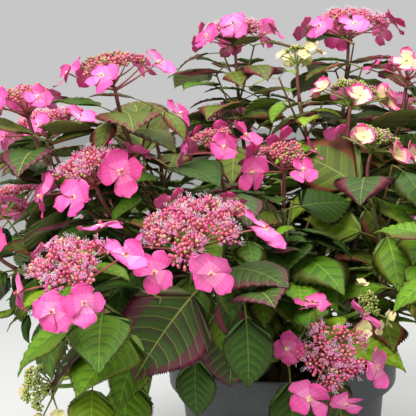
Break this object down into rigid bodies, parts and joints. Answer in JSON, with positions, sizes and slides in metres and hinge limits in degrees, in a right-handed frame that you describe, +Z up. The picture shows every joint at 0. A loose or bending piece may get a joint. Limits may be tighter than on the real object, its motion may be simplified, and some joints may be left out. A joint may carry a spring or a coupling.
{
  "type": "potted hydrangea shrub",
  "caption": "Lacecap hydrangea in flower in a round plastic nursery pot, with woody canes, serrate leaves and flat pink flower heads.",
  "frame": {"origin": "centre of the pot's flat underside, on the floor", "axes": "+Z up, and -Y towards the shown side of the plant"},
  "size_m": [0.8174, 0.8091, 0.6549],
  "materials": {
    "pot": "satin",
    "soil": "rough",
    "bark": "rough",
    "foliage": "satin"
  },
  "bodies": {
    "root": {"bough_centre": "bark", "bough_left": "bark", "bough_low_left": "bark", "bough_lower_front": "bark", "bough_lower_left": "bark", "bough_right": "bark", "bough_right_front": "bark", "bough_shaded": "bark", "bough_shoulder_2": "bark", "bough_shoulder_3": "bark", "bough_skirt_1": "bark", "bough_skirt_2": "bark", "bough_skirt_3": "bark", "bough_skirt_4": "bark", "bough_skirt_5": "bark", "bough_skirt_6": "bark", "bough_skirt_7": "bark", "bough_skirt_8": "bark", "bough_top_middle": "bark", "bough_upper_right": "bark", "cane_far_left": "bark", "cane_far_right": "bark", "cane_inner_front": "bark", "cane_inner_left": "bark", "cane_shoulder_1": "bark", "cane_shoulder_4": "bark", "cane_top_left": "bark", "cane_top_right": "bark", "cane_upper_left": "bark", "foliage_centre": "foliage", "foliage_far_left": "foliage", "foliage_far_right": "foliage", "foliage_inner_front": "foliage", "foliage_inner_left": "foliage", "foliage_left": "foliage", "foliage_low_left": "foliage", "foliage_lower_front": "foliage", "foliage_lower_left": "foliage", "foliage_right": "foliage", "foliage_right_front": "foliage", "foliage_shaded": "foliage", "foliage_shoulder_1": "foliage", "foliage_shoulder_2": "foliage", "foliage_shoulder_3": "foliage", "foliage_shoulder_4": "foliage", "foliage_skirt_1": "foliage", "foliage_skirt_2": "foliage", "foliage_skirt_3": "foliage", "foliage_skirt_4": "foliage", "foliage_skirt_5": "foliage", "foliage_skirt_6": "foliage", "foliage_skirt_7": "foliage", "foliage_skirt_8": "foliage", "foliage_top_left": "foliage", "foliage_top_middle": "foliage", "foliage_top_right": "foliage", "foliage_upper_left": "foliage", "foliage_upper_right": "foliage", "pot": "pot", "soil": "soil"}
  },
  "joints": []
}
